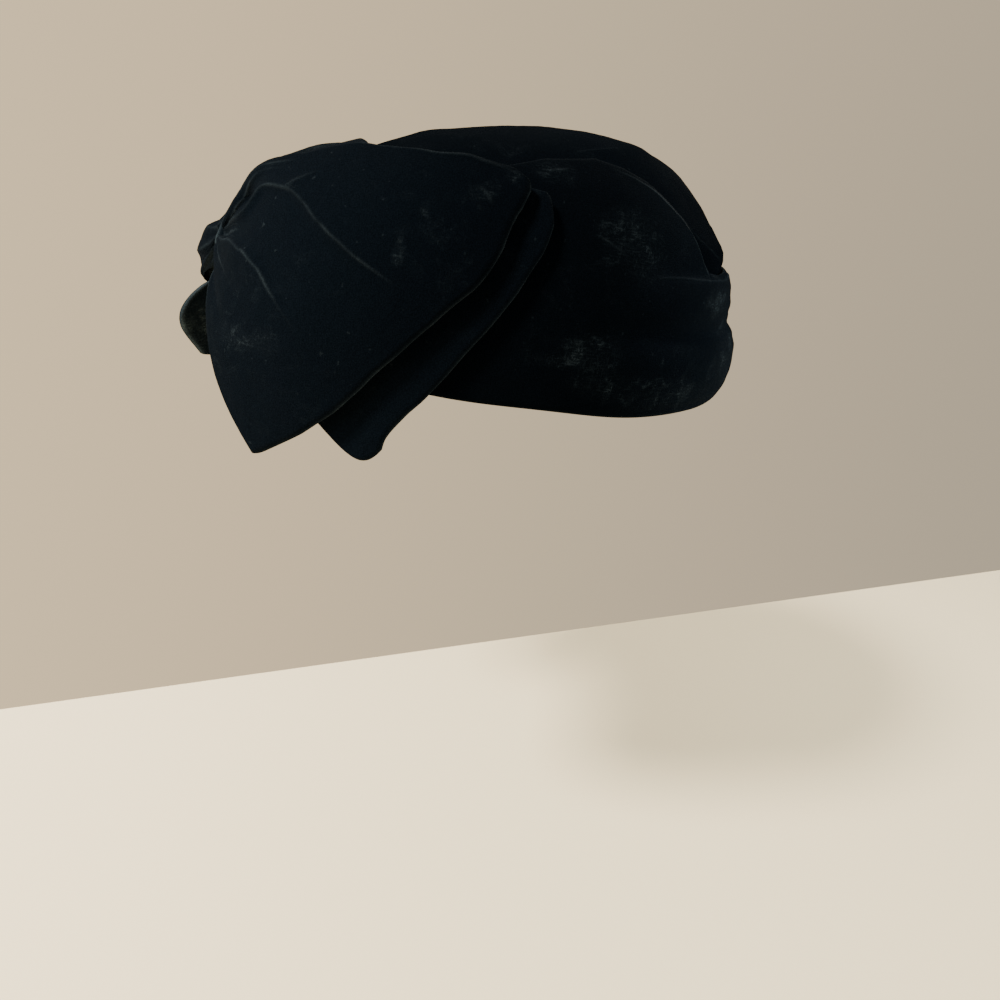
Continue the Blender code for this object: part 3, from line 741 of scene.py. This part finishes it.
def cuff_shape(turn, height):
    """How far the cuff at the back puffs out: two soft folds with a groove between them."""
    strength = ease((from_front(turn) - CUFF_FADE_START) / (CUFF_FADE_END - CUFF_FADE_START))
    share = np.clip(height / CUFF_HEIGHT, 0, 1)
    return MILLIMETRE * strength * eased_table(CUFF_PROFILE, share)


def rim_drop(turn):
    """How far the side drape's rim sags below the head opening."""
    share = ease((from_front(turn) - RIM_SAG_START) / (180 - RIM_SAG_START))
    return RIM_SAG * np.sin(math.pi * share) ** 2


def side_cloth():
    turns = np.linspace(0, 360, SIDE_GRID[0], endpoint=False)
    shares = crowded(SIDE_GRID[1])
    low = -(rim_drop(turns) + RIM_WAVE * (1 + np.sin(np.radians(turns * RIM_WAVES))))[:, None]
    height = low + (drape_top(turns)[:, None] - low) * shares[None]
    turn = np.broadcast_to(turns[:, None], height.shape)
    out = DRAPE_BASE + DRAPE_WALL / 2 + cuff_shape(turn, height)
    start, normal = cloth_place(turn, height, out)
    show = grown(from_front(turn), SIDE_LUMPS_TURNS)
    wave = lumpy(start * (1, 1, SIDE_LUMP_SQUASH), SIDE_LUMPS[:1], SIDE_SEED)
    wave = wave + lumpy(start, SIDE_LUMPS[1:], SIDE_SEED + 1)
    edge_fade = np.sin(math.pi * np.clip(shares, 0, 1))[None] ** 0.5
    point = start + normal * (wave * show * edge_fade)[..., None]
    way = surface_way(point, normal)
    folds_laid = laid_folds(SIDE_LINES, point, way, DRAPE_BASE + DRAPE_WALL)
    fine = lumpy(point, PILE_LUMPS, SIDE_SEED + 2)
    full = edge_share(point, True)
    half = normal * (DRAPE_WALL / 2 * full)[..., None]
    raised = way * ((folds_laid.lift + fine) * full)[..., None]
    # The edges' painted highlight, partly rubbed pile, grows from the front towards the back
    shown = grown(from_front(turn), SIDE_WORN_AND_HIGHLIGHT_TURNS) * SIDE_WORN_AND_HIGHLIGHT[1] + SIDE_WORN_AND_HIGHLIGHT[0]
    marks = folds_laid.marks((1 - full) ** SIDE_EDGE_FADE * shown)
    return sheet_mesh("side_drape_velvet", point + half + raised, point - half, marks, True)


def crown_cloth():
    turns = np.linspace(0, 360, CROWN_GRID[0], endpoint=False)
    shares = np.linspace(0, 1, CROWN_GRID[1])
    climb = CROWN_RINGS[0] + (CROWN_RINGS[1] - CROWN_RINGS[0]) * shares
    turn, climb = np.broadcast_arrays(turns[:, None], climb[None])
    inner = head_place(turn, climb)
    normal = head_normal(turn, climb)
    point = inner + normal * CROWN_WALL
    open_share = ease((point[..., 2] - drape_top(turn) + CROWN_HIDDEN) / CROWN_OPENS)
    reach = np.hypot(point[..., 0] / (HEAD_WIDTH / 2), point[..., 1] / (HEAD_LENGTH / 2))
    relief = np.zeros(turn.shape)
    for fold in CROWN_FOLDS:
        a, b = fold["turns"]
        share = np.clip((turn - a) / (b - a), 0, 1)
        near, far = fold["reaches"]
        line = near + share * (far - near)
        off = (reach - line) / fold["width"]
        relief += fold["rise"] * HEAD_DEPTH * np.exp(-off * off) * np.sin(math.pi * share) ** 0.7
    folds_laid = laid_folds(CROWN_LINES, point, normal, CROWN_WALL)
    relief = CROWN_FOLD_SHARE * (relief + folds_laid.lift * open_share)
    wave = lumpy(point, CROWN_LUMPS, CROWN_SEED)
    front = grown(-point[..., 1], CROWN_FRONT_Y) * grown(point[..., 2], CROWN_FRONT_Z)
    around = (turn - CROWN_BACK_TURN) / CROWN_BACK_SPREAD
    high = (point[..., 2] - CROWN_BACK_HEIGHT) / CROWN_BACK_DEPTH
    relief -= CROWN_BACK_SINK * np.exp(-around * around - high * high) * open_share
    low = (point[..., 2] - CROWN_PUFF_HEIGHT) / CROWN_PUFF_DEPTH
    relief += CROWN_PUFF * np.exp(-around * around - low * low) * open_share
    relief += CROWN_REAR_RISE * ease(point[..., 1] / CROWN_REAR_Y) * grown(point[..., 2], CROWN_REAR_Z)
    relief += (np.maximum(wave, -DEEPEST_CROWN_LUMP) - CROWN_FRONT_SINK * front) * open_share
    relief += lumpy(point, PILE_LUMPS, CROWN_SEED + 2) * open_share
    outer = point + normal * relief[..., None]
    rim = cloth_place(turns, CROWN_RIM_LIFT, CROWN_WALL / 2)[0]
    outer = np.concatenate([rim[:, None], outer], axis=1)
    inner = np.concatenate([rim[:, None], inner], axis=1)
    marks = folds_laid.marks(np.zeros(turn.shape))
    marks = {mark: np.concatenate([values[:, :1], values], axis=1) for mark, values in marks.items()}
    return sheet_mesh("crown_velvet", outer, inner, marks, True, cap=True)


def knot_cloth():
    centre, normal = cloth_place(0.0, KNOT_HEIGHT, UNDER_LEAF_BASE + KNOT_STAND)
    side = np.array([1.0, 0, 0])
    up = np.cross(side, normal)
    around = np.linspace(0, 2 * math.pi, KNOT_GRID[0], endpoint=False)[:, None]
    rise = np.linspace(KNOT_END, math.pi - KNOT_END, KNOT_GRID[1])[None]
    drift = 0.35 * np.sin(rise * 2.3 + around)
    ribs = np.abs(np.sin(KNOT_RIBS * (around + 0.12 * np.sin(3 * around + 1)) + drift))
    swell = np.sin(rise) ** 0.7 * (KNOT_SWELL + KNOT_RIB_DEPTH * (ribs - KNOT_RIB_LEVEL))
    swell = swell * (1 - KNOT_WAIST * np.exp(-(((rise - math.pi / 2) / 0.5) ** 2)))
    places = centre + side * (KNOT_HALF_WIDTH * swell * np.cos(around))[..., None]
    places = places + normal * (KNOT_HALF_DEPTH * swell * np.sin(around))[..., None]
    places = places + up * (KNOT_HALF_HEIGHT * np.cos(rise) * np.ones_like(around))[..., None]
    index = np.arange(places[..., 0].size).reshape(KNOT_GRID)
    after = np.roll(index, -1, axis=0)
    quads = np.stack([index[:, :-1], index[:, 1:], after[:, 1:], after[:, :-1]], -1)
    faces = quads.reshape(-1, 4).tolist() + [index[:, 0].tolist(), index[::-1, -1].tolist()]
    # Painted highlight on the tops of the knot's ribs
    worn_and_highlight = np.broadcast_to(np.clip(ribs, 0, 1) ** 4 * 0.5, KNOT_GRID).reshape(-1)
    return cloth_mesh("knot_velvet", places.reshape(-1, 3), faces, {"worn_and_highlight": worn_and_highlight})


class Nodes:
    """A short way to lay out the nodes of a material or a world."""

    def __init__(self, owner):
        owner.use_nodes = True
        self.owner = owner
        self.tree = owner.node_tree
        self.shader = self.tree.nodes.get("Principled BSDF") or self.tree.nodes["Background"]

    def finish(self, **values):
        """Sets or links the shader's sockets, which are named with _ for a space."""
        for name, value in values.items():
            self.put(self.shader.inputs[name.replace("_", " ")], value)
        return self.owner

    def add(self, kind, values=(), **settings):
        """A node with its settings, and a value or a link for each socket that is named."""
        made = self.tree.nodes.new("ShaderNode" + kind)
        for name, value in settings.items():
            setattr(made, name, value)
        for socket, value in dict(values).items():
            self.put(made.inputs[socket], value)
        return made

    def put(self, socket, value):
        if isinstance(value, bpy.types.NodeSocket):
            self.tree.links.new(value, socket)
        else:
            socket.default_value = value

    def math(self, operation, *values, clamp=False):
        return self.add("Math", enumerate(values), operation=operation, use_clamp=clamp).outputs[0]

    def times(self, product, *others):
        for value in others:
            product = self.math("MULTIPLY", product, value)
        return product

    def vector(self, operation, *values):
        return self.add("VectorMath", enumerate(values), operation=operation).outputs

    def noise(self, place, *settings):
        names = ("Vector", "Scale", "Detail", "Roughness", "Distortion")
        return self.add("TexNoise", zip(names, (place, *settings))).outputs["Fac"]

    def attribute(self, name):
        return self.add("Attribute", attribute_type="GEOMETRY", attribute_name=name).outputs["Fac"]

    def shift(self, place, by=(0, 0, 0), scale=(1, 1, 1)):
        return self.add("Mapping", {"Vector": place, "Location": by, "Scale": scale}).outputs[0]

    def span(self, value, low, high, to_low=0.0, to_high=1.0, way="SMOOTHSTEP"):
        names = ("Value", "From Min", "From Max", "To Min", "To Max")
        values = (value, low, high, to_low, to_high)
        return self.add("MapRange", zip(names, values), interpolation_type=way).outputs[0]

    def blend(self, share, first, second):
        return self.add("Mix", {0: share, 6: first, 7: second}, data_type="RGBA").outputs[2]

    def bump(self, height, distance, strength, normal=None):
        values = {"Height": height, "Distance": distance, "Strength": strength}
        if normal is not None:
            values["Normal"] = normal
        return self.add("Bump", values).outputs[0]


# Places where the pile is brushed or crushed: a turn, a height, how far each reaches around the
# head and up, and how strongly it shows. Two places on the leaves are painted highlights instead.
CRUSHED = table(
    "turn height reach strength",
    (105, .0540, (.0120, .0100), .8),
    (110, .0470, (.0090, .0070), .5),
    (98, .0205, (.0120, .0060), .75),
    (94, .0165, (.0170, .0026), .7),
    (99, .0110, (.0110, .0055), .7),
    (112, .0070, (.0260, .0060), .5),
    (138, .0360, (.0130, .0060), .6),
    (146, .0180, (.0160, .0140), .45),
    (88, .0690, (.0080, .0040), .4),
    (255, .0480, (.0140, .0080), .8),
    (240, .0180, (.0120, .0080), .7),
    (265, .0120, (.0180, .0040), .6),
    (190, .0300, (.0200, .0060), .5),
)
LEFT_UPPER_BRUSHED_AND_HIGHLIGHT = table(
    "across along reach strength",
    (.329, .825, (.0022, .0050), .75),
    (.229, .833, (.0018, .0036), .40),
    (.205, .790, (.0030, .0014), .2),
    (.812, .530, (.0100, .0045), .50),
    (.713, .675, (.0060, .0050), .35),
    (.158, .937, (.0016, .0007), .45),
    # The rounded top corner: a painted highlight
    (.035, .965, (.0030, .0026), .70),
)
RIGHT_LOWER_PAINTED_HIGHLIGHT = table(
    "across along reach strength",
    # The far lobe, which lies in shade: a painted highlight
    (.97, .80, (.0140, .0150), 1.0),
)
RIGHT_UPPER_BRUSHED = table(
    "across along reach strength",
    (.30, .80, (.0040, .0030), .55),
    (.78, .55, (.0080, .0040), .45),
)


def side_patches():
    """The crushed places of the side drape, each with its point in space."""
    out = DRAPE_BASE + DRAPE_WALL
    return [{**spot, "place": cloth_place(spot["turn"], spot["height"], out)[0]} for spot in CRUSHED]


# Painted light and shade on each cloth from front to back, for how the lamps and the sheen fall on it:
# two places along Y and the tone at each
LEAF_PAINTED_SHADING = (-0.100, -0.012, 1.22, 0.62)
UNDER_LEAF_PAINTED_SHADING = (-0.112, -0.020, 2.00, 0.85)
SIDE_PAINTED_SHADING = (0.010, 0.088, 0.62, 2.30)
CROWN_PAINTED_SHADING = (-0.020, 0.090, 0.60, 1.05)
KNOT_PAINTED_SHADING = (-0.120, -0.090, 2.00, 1.70)


def velvet(name, seed, painted_shading, patches=(), sheen=SHEEN):
    """Black velvet: dark upright pile, brushed patches, streaks, painted light and shade from front to back,
    painted highlights on fold crests and edges, partly rubbed pile, and a soft sheen.
    """
    nodes = Nodes(bpy.data.materials.new(name))
    place = nodes.add("TexCoord").outputs["Object"]
    moved = nodes.shift(place, (seed * 0.173, seed * 0.291, seed * 0.107))
    tone = nodes.span(nodes.noise(moved, *BROAD_NOISE), *BROAD_LEVELS)
    crushed = nodes.span(nodes.noise(moved, *CRUSH_NOISE), *CRUSH_LEVELS)
    streaks_up = nodes.noise(nodes.shift(moved, scale=STREAKS_UP), *STREAK_NOISE)
    streaks_round = nodes.noise(nodes.shift(moved, scale=STREAKS_ROUND), *STREAK_NOISE)
    streaks = nodes.math("MAXIMUM", nodes.span(streaks_up, 0.52, 0.66), nodes.span(streaks_round, 0.50, 0.64))
    grain = nodes.noise(moved, *GRAIN_NOISE)
    amount = nodes.times(tone, crushed, NAP_BROAD)
    for patch in patches:
        around, up = patch["reach"]
        gap = nodes.vector("SUBTRACT", place, patch["place"])[0]
        gap = nodes.vector("MULTIPLY", gap, (1 / around, 1 / around, 1 / up))[0]
        near = nodes.span(nodes.vector("LENGTH", gap)["Value"], 0.3, 1.3, patch["strength"], 0.0)
        inside = nodes.times(near, nodes.math("ADD", nodes.times(crushed, 0.75), 0.20))
        amount = nodes.math("ADD", amount, inside)
    amount = nodes.times(amount, nodes.math("ADD", nodes.times(streaks, 1.1), 0.25))
    # Painted highlights: the edge and rib-top mark and the fold crests lighten the pile where they would
    # catch sheen; on the edges this is partly rubbed pile as well
    worn_and_highlight, off, show = (nodes.attribute(mark) for mark in ("worn_and_highlight", "crest_off", "crest_show"))
    aside = nodes.math("DIVIDE", off, CREST_MILLIMETRES)
    crest = nodes.times(nodes.math("EXPONENT", nodes.times(aside, aside, -1.0)), show)
    broken = nodes.span(nodes.noise(moved, *BREAK_NOISE), 0.35, 0.65, 0.25, 1.0)
    rubbed_and_highlight = nodes.math("ADD", nodes.times(worn_and_highlight, 1.2), crest)
    amount = nodes.math("ADD", amount, nodes.times(rubbed_and_highlight, broken))
    flecks = nodes.span(nodes.noise(moved, *FLECK_NOISE), *FLECK_LEVELS)
    amount = nodes.math("ADD", amount, flecks, clamp=True)
    ground = nodes.blend(amount, PILE_DARK, PILE_BRUSHED_AND_HIGHLIGHT)
    apart = nodes.add("SeparateXYZ", {0: place})
    # Painted light and shade from front to back scales the pile's colour, together with its grain
    grain_and_painted_shading = nodes.times(nodes.span(grain, 0.3, 0.7, 0.70, 1.30), nodes.span(apart.outputs["Y"], *painted_shading))
    bright = nodes.add("VectorMath", {0: ground, "Scale": grain_and_painted_shading}, operation="SCALE")
    roughness = nodes.span(amount, 0, 1, 0.95, 0.72)
    pile = None
    for height, (distance, strength) in zip((tone, crest, streaks, grain), PILE_BUMPS):
        pile = nodes.bump(height, distance, strength, pile)
    return nodes.finish(Base_Color=bright.outputs[0], Roughness=roughness, Normal=pile,
                        Specular_IOR_Level=0.0, Sheen_Weight=sheen, Sheen_Roughness=SHEEN_ROUGHNESS,
                        Sheen_Tint=SHEEN_TINT)


def backing(name):
    """The woven back of the velvet, inside the crown."""
    nodes = Nodes(bpy.data.materials.new(name))
    place = nodes.add("TexCoord").outputs["Object"]
    x, y, z = (nodes.add("TexWave", {"Vector": place, **WEAVE}, bands_direction=way).outputs["Fac"]
               for way in ("X", "Y", "Z"))
    weave = nodes.math("ADD", nodes.times(x, y), nodes.times(z, 0.6))
    tone = nodes.noise(place, 40, 4, 0.6)
    share = nodes.times(weave, nodes.span(tone, 0.3, 0.7, 0.5, 1.0))
    return nodes.finish(Base_Color=nodes.blend(share, BACKING_DARK, BACKING_LIGHT),
                        Roughness=nodes.span(weave, 0, 1, 0.9, 0.75),
                        Normal=nodes.bump(weave, 0.0001, 0.4), Specular_IOR_Level=0.02)


def plain_stage_material(name, colour, roughness):
    nodes = Nodes(bpy.data.materials.new(name))
    place = nodes.add("TexCoord").outputs["Object"]
    grain = nodes.noise(place, 60, 4, 0.6)
    low = tuple(0.985 * value for value in colour[:3]) + (1,)
    uneven = nodes.bump(nodes.noise(place, 300, 3, 0.6), 0.0004, 0.15)
    return nodes.finish(Base_Color=nodes.blend(grain, low, colour), Roughness=roughness, Normal=uneven)


def plane(name, corners, material):
    mesh = bpy.data.meshes.new(name)
    mesh.from_pydata(corners, [], [list(range(len(corners)))])
    mesh.materials.append(material)
    placed(name, mesh)


# The camera of the photograph: its direction, distance and roll, where the centre of the head
# opening lies in the picture of 1000 by 1000, and its focal length, in pixels of that picture
CAMERA_TURN = 75
CAMERA_RISE = 14
CAMERA_DISTANCE = 0.32
CAMERA_ROLL = 9.5
OPENING_PIXEL = (488, 339)
FOCAL_PIXELS = 750
PICTURE = 1000


def add_camera():
    turn, rise = math.radians(CAMERA_TURN), math.radians(CAMERA_RISE)
    way = Vector((math.sin(turn) * math.cos(rise), -math.cos(turn) * math.cos(rise), math.sin(rise)))
    right = (-way).cross(Vector((0, 0, 1))).normalized()
    up = right.cross(-way)
    roll = math.radians(CAMERA_ROLL)
    right, up = right * math.cos(roll) + up * math.sin(roll), up * math.cos(roll) - right * math.sin(roll)
    base = Matrix((right, up, way)).transposed()
    half = PICTURE / 2
    aim = Vector(((OPENING_PIXEL[0] - half) / FOCAL_PIXELS, (half - OPENING_PIXEL[1]) / FOCAL_PIXELS, -1))
    turned = aim.rotation_difference(Vector((0, 0, -1))).to_matrix()
    data = bpy.data.cameras.new("camera")
    data.sensor_width = 36
    data.lens = 36 * FOCAL_PIXELS / PICTURE
    data.clip_start = 0.01
    camera = placed("camera", data)
    camera.matrix_world = Matrix.Translation(way * CAMERA_DISTANCE) @ (base @ turned).to_4x4()
    bpy.context.scene.camera = camera


# The lamps: place, size and power in watts
LAMPS = table(
    "name place size power colour",
    ("key", (0.30, -0.97, 0.98), 0.26, 56, (1.0, 0.93, 0.82)),
    ("front", (0.25, -1.05, 0.08), 0.5, 10, (1.0, 0.97, 0.93)),
    ("right", (-0.95, -0.45, 0.40), 0.6, 11, (1.0, 0.97, 0.93)),
    ("rear", (0.60, 0.95, 0.35), 0.6, 11, (0.80, 0.93, 1.0)),
    ("back", (-0.50, 0.95, 0.45), 0.6, 4, (1.0, 0.97, 0.93)),
)
WALL_LEFT = (0.980, 0.760, 0.470, 1)
WALL_RIGHT = (0.470, 0.400, 0.300, 1)
ROOM_BEHIND = (0.160, 0.150, 0.135, 1)


def add_lamp(lamp):
    data = bpy.data.lights.new(lamp["name"], "AREA")
    data.shape = "DISK"
    data.size = lamp["size"]
    data.energy = lamp["power"]
    data.color = lamp["colour"]
    piece = placed(lamp["name"], data)
    piece.location = lamp["place"]
    piece.rotation_euler = (-Vector(lamp["place"])).to_track_quat("-Z", "Y").to_euler()


FLOOR_LEVEL = -0.25
FLOOR_EDGE = ((-0.075, -0.163), (-0.192, 0.463))
FLOOR_WIDTH = 1.6


def add_stage():
    start, end = Vector(FLOOR_EDGE[0]), Vector(FLOOR_EDGE[1])
    run = (end - start).normalized()
    out = Vector((run.y, -run.x))
    floor = plain_stage_material("floor_paint", (0.82, 0.71, 0.47, 1), 0.6)
    far, near = start - run * 1.4, start + run * 1.7
    places = [far, near, near + out * FLOOR_WIDTH, far + out * FLOOR_WIDTH]
    plane("floor", [(*place, FLOOR_LEVEL) for place in places], floor)


def add_light():
    nodes = Nodes(bpy.data.worlds.new("room"))
    apart = nodes.add("SeparateXYZ", {0: nodes.add("TexCoord").outputs["Generated"]})
    across = nodes.span(apart.outputs["Y"], -0.3, 0.9, way="LINEAR")
    behind = nodes.span(apart.outputs["X"], -0.1, 0.7, way="LINEAR")
    walls = nodes.blend(across, WALL_LEFT, WALL_RIGHT)
    bpy.context.scene.world = nodes.finish(Color=nodes.blend(behind, walls, ROOM_BEHIND))
    for lamp in LAMPS:
        add_lamp(lamp)


def dress(piece, node, materials):
    for material in materials:
        piece.data.materials.append(material)
    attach(piece, "root")
    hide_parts(node)


# The bow's four leaves and the top drape. Flat is the width and length that each was cut to, and
# area its flat area.
UNDER = dict(grid=LEAF_GRID, base=UNDER_LEAF_BASE, wall=UNDER_LEAF_WALL, gathers=5, painted_shading=UNDER_LEAF_PAINTED_SHADING,
             top_edge=UNDER_TOP_EDGE, under="side_drape")
UPPER = dict(grid=LEAF_GRID, base=LEAF_BASE, wall=LEAF_WALL, gathers=6, painted_shading=LEAF_PAINTED_SHADING,
             corners=((.024, .009), (.022, .010)), end_edge=PLAIN_END)
LEAVES = [
    dict(UNDER, name="bow_left_lower", folds=LEFT_LOWER_FOLDS, lines=LEFT_LOWER_LINES, side=1, seed=41,
         corners=((.11, .040), (.09, .05)), end_edge=LEFT_UNDER_END, brushed_and_highlight_patches=(), flat=(0.085, 0.100),
         area=0.0062),
    dict(UNDER, name="bow_right_lower", folds=RIGHT_LOWER_FOLDS, lines=RIGHT_LOWER_LINES, side=-1, seed=51,
         corners=((.11, .045), (.03, .015)), end_edge=PLAIN_END, brushed_and_highlight_patches=RIGHT_LOWER_PAINTED_HIGHLIGHT,
         flat=(0.095, 0.110), area=0.0077),
    dict(UPPER, name="bow_left_upper", folds=beside_knot(LEFT_UPPER_FOLDS), lines=LEFT_UPPER_LINES, side=1,
         seed=61, top_edge=LEFT_TOP_EDGE, brushed_and_highlight_patches=LEFT_UPPER_BRUSHED_AND_HIGHLIGHT, flat=(0.105, 0.115), area=0.0090,
         under="bow_left_lower"),
    dict(UPPER, name="bow_right_upper", folds=beside_knot(RIGHT_UPPER_FOLDS), lines=RIGHT_UPPER_LINES,
         side=-1, seed=71, top_edge=RIGHT_TOP_EDGE, brushed_and_highlight_patches=RIGHT_UPPER_BRUSHED, flat=(0.100, 0.110),
         area=0.0080, under="bow_right_lower"),
]
TOP_DRAPE = dict(name="top_drape", folds=over_knot(TOP_DRAPE_FOLDS), lines=TOP_DRAPE_LINES, side=1,
                 grid=TOP_DRAPE_GRID, base=UNDER_LEAF_BASE, wall=TOP_DRAPE_WALL, gathers=4, seed=81,
                 painted_shading=LEAF_PAINTED_SHADING, corners=((.05, .02), (.05, .02)), top_edge=PLAIN_END,
                 end_edge=PLAIN_END, brushed_and_highlight_patches=(), flat=(0.085, 0.062), area=0.0038, under="crown")

add_camera()
for leaf in [*LEAVES, TOP_DRAPE]:
    piece, patches = fan(leaf)
    dress(piece, leaf["name"], [velvet(leaf["name"] + "_pile", leaf["seed"] % 10 + 3, leaf["painted_shading"], patches)])
side = side_cloth()
dress(side, "side_drape", [velvet("side_drape_pile", 5, SIDE_PAINTED_SHADING, side_patches())])
crown = crown_cloth()
dress(crown, "crown", [velvet("crown_pile", 7, CROWN_PAINTED_SHADING, sheen=CROWN_SHEEN), backing("crown_backing")])
face_count = len(crown.data.polygons)
inside = np.zeros(face_count, np.int32)
inside[face_count // 2 - 1:-2] = 1
inside[-1] = 1
crown.data.polygons.foreach_set("material_index", inside)
knot = knot_cloth()
dress(knot, "knot", [velvet("knot_pile", 9, KNOT_PAINTED_SHADING)])
add_stage()
add_light()
